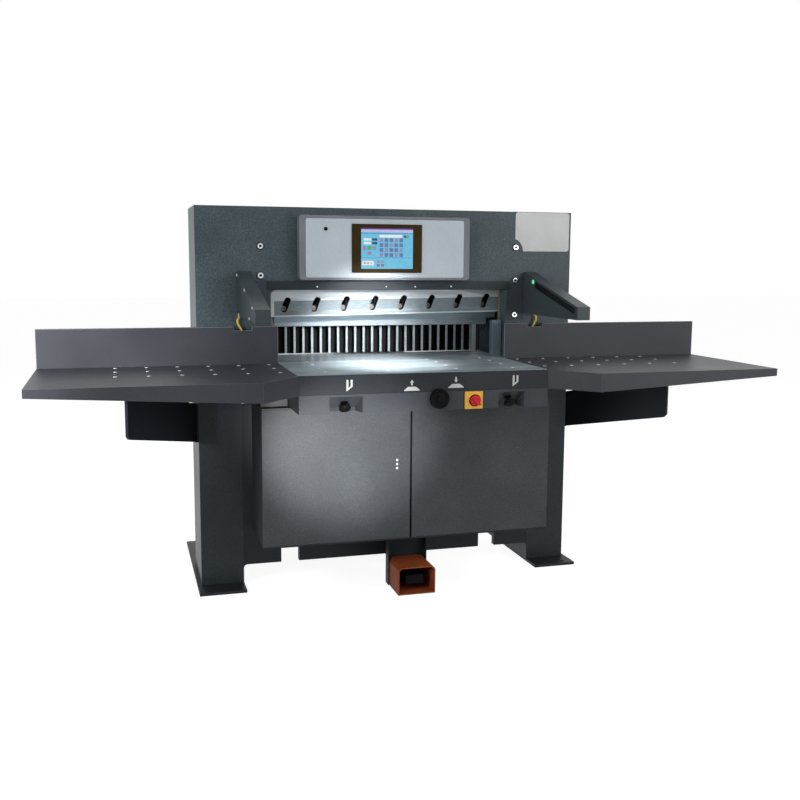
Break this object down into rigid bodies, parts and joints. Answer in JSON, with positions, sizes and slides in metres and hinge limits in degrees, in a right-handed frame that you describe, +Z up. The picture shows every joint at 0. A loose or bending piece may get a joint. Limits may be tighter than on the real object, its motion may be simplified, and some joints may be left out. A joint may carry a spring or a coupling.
{
  "type": "guillotine paper cutter",
  "caption": "Free-standing hydraulic guillotine paper cutter with air side tables, swing-cut knife, clamp, back gauge, cabinet, touch screen and foot pedal.",
  "frame": {"origin": "on the floor under the centre of the whole machine, side tables and rear table included", "axes": "+X to the operator's right along the cutting line, +Y to the rear, +Z up"},
  "size_m": [2.79, 1.866, 1.54],
  "materials": {
    "frame_paint": "dark blue-grey hammered enamel",
    "dark_paint": "dark grey enamel",
    "door_paint": "dark grey textured powder coat",
    "table_paint": "charcoal textured powder coat",
    "bracket_paint": "near-black enamel",
    "apron_paint": "dark grey satin enamel",
    "box_paint": "mid-grey satin enamel",
    "guard_paint": "orange-brown gloss enamel",
    "machine_paint": "blue-grey machine enamel",
    "table_steel": "ground and polished steel",
    "beam_steel": "machined steel, lightly oiled",
    "knife_steel": "ground tool steel",
    "bolt_steel": "blackened steel",
    "dark_steel": "dark machined steel",
    "chrome": "hard chrome",
    "casting": "machined grey iron",
    "brass": "dull bearing brass",
    "alloy": "silver satin aluminium",
    "stick": "pale plastic",
    "black_plastic": "black moulded plastic",
    "yellow_plastic": "yellow moulded plastic",
    "red_plastic": "red moulded plastic",
    "lens": "dark clear plastic",
    "housing": "grey satin moulding",
    "screen": "bronze bezel with glass",
    "cable": "yellow cable sheath",
    "belt": "black toothed belt",
    "tank": "grey moulded tank"
  },
  "bodies": {
    "machine": {"left_upright": "frame_paint", "right_upright": "frame_paint", "head_beam": "frame_paint", "table_beam": "dark_paint", "base_beam": "dark_paint", "foot_plates": "dark_paint", "rear_pedestal": "dark_paint", "main_table": "table_steel", "rear_table": "table_steel", "cutting_stick": "stick", "throat_guides": "dark_steel", "air_nozzles": "chrome", "knife_gibs": "brass", "knife_guide_rails": "dark_steel", "knife_cylinder": "machine_paint", "clamp_cylinder": "machine_paint", "clamp_bushes": "brass", "drive_belt": "belt", "gauge_motor": "machine_paint", "screw_bearings": "casting", "cabinet": "dark_paint", "hinge_pins": "chrome", "front_apron": "apron_paint", "control_box": "box_paint", "switch_plate": "yellow_plastic", "pedal_guard": "guard_paint", "pedal_bracket": "bracket_paint", "pedal_pin": "chrome", "left_side_table": "table_paint", "right_side_table": "table_paint", "upstands": "table_paint", "table_brackets": "bracket_paint", "light_guards": "apron_paint", "light_curtains": "lens", "display_housing": "housing", "display_panel": "alloy", "touch_screen": "screen", "frame_bolts": "chrome", "guard_cables": "cable", "oil_tank": "tank", "pump_unit": "machine_paint", "electrical_box": "box_paint"},
    "knife_carriage": {"knife_slide_block": "dark_steel", "knife_rod": "chrome"},
    "knife": {"knife_beam": "beam_steel", "knife_blade": "knife_steel", "knife_bolts": "bolt_steel"},
    "clamp": {"clamp": "casting", "clamp_rods": "chrome"},
    "back_gauge": {"back_gauge": "casting"},
    "gauge_screw": {"lead_screw": "chrome", "screw_pulley": "alloy"},
    "motor_shaft": {"motor_pulley": "alloy"},
    "left_door": {"left_door": "door_paint"},
    "right_door": {"right_door": "door_paint"},
    "left_cut_button": {"left_cut_button": "black_plastic"},
    "right_cut_button": {"right_cut_button": "black_plastic"},
    "handwheel": {"handwheel": "black_plastic"},
    "switch_knob": {"switch_knob": "red_plastic"},
    "foot_pedal": {"foot_pedal": "black_plastic"}
  },
  "joints": [
    {"name": "knife_stroke", "type": "slide", "parent": "machine", "child": "knife_carriage", "axis": [-0.3636, 0, -0.9315], "range_m": [0, 0.15125]},
    {"name": "knife_level", "type": "hinge", "parent": "knife_carriage", "child": "knife", "pos_m": [-0.58, -0.1415, 1.2], "axis": [0, 1, 0], "range_deg": [0, 0.89]},
    {"name": "clamp_press", "type": "slide", "parent": "machine", "child": "clamp", "axis": [0, 0, -1], "range_m": [0, 0.126]},
    {"name": "gauge_travel", "type": "slide", "parent": "machine", "child": "back_gauge", "axis": [0, 1, 0], "range_m": [0, 0.69]},
    {"name": "gauge_screw_spin", "type": "hinge", "parent": "machine", "child": "gauge_screw", "pos_m": [0, 0.06, 0.85], "axis": [0, 1, 0], "range_deg": [-12420, 0]},
    {"name": "gauge_motor_spin", "type": "hinge", "parent": "machine", "child": "motor_shaft", "pos_m": [0, 0.86, 0.76], "axis": [0, 1, 0], "range_deg": [-12420, 0]},
    {"name": "left_door_hinge", "type": "hinge", "parent": "machine", "child": "left_door", "pos_m": [-0.58, -0.562, 0.5], "axis": [0, 0, -1], "range_deg": [0, 105]},
    {"name": "right_door_hinge", "type": "hinge", "parent": "machine", "child": "right_door", "pos_m": [0.58, -0.562, 0.5], "axis": [0, 0, 1], "range_deg": [0, 105]},
    {"name": "left_cut_button_press", "type": "slide", "parent": "machine", "child": "left_cut_button", "axis": [0, 0.6018, 0.7986], "range_m": [0, 0.006], "stiffness_N_per_m": 800, "springref_m": -0.002},
    {"name": "right_cut_button_press", "type": "slide", "parent": "machine", "child": "right_cut_button", "axis": [0, 0.6018, 0.7986], "range_m": [0, 0.006], "stiffness_N_per_m": 800, "springref_m": -0.002},
    {"name": "handwheel_spin", "type": "hinge", "parent": "machine", "child": "handwheel", "pos_m": [0.044, -0.79, 0.824], "axis": [0, 1, 0], "continuous": true},
    {"name": "main_switch_turn", "type": "hinge", "parent": "machine", "child": "switch_knob", "pos_m": [0.184, -0.785, 0.813], "axis": [0, 1, 0], "range_deg": [0, 90]},
    {"name": "foot_pedal_press", "type": "hinge", "parent": "machine", "child": "foot_pedal", "pos_m": [0.025, -0.449, 0.036], "axis": [1, 0, 0], "range_deg": [0, 15], "stiffness_Nm_per_rad": 12, "springref_deg": -8.59}
  ],
  "couplings": [
    {"joint": "knife_level", "follows": "knife_stroke", "rad_per_m": 0.1026},
    {"joint": "gauge_screw_spin", "follows": "gauge_travel", "rad_per_m": -314.16},
    {"joint": "gauge_motor_spin", "follows": "gauge_travel", "rad_per_m": -314.16}
  ]
}
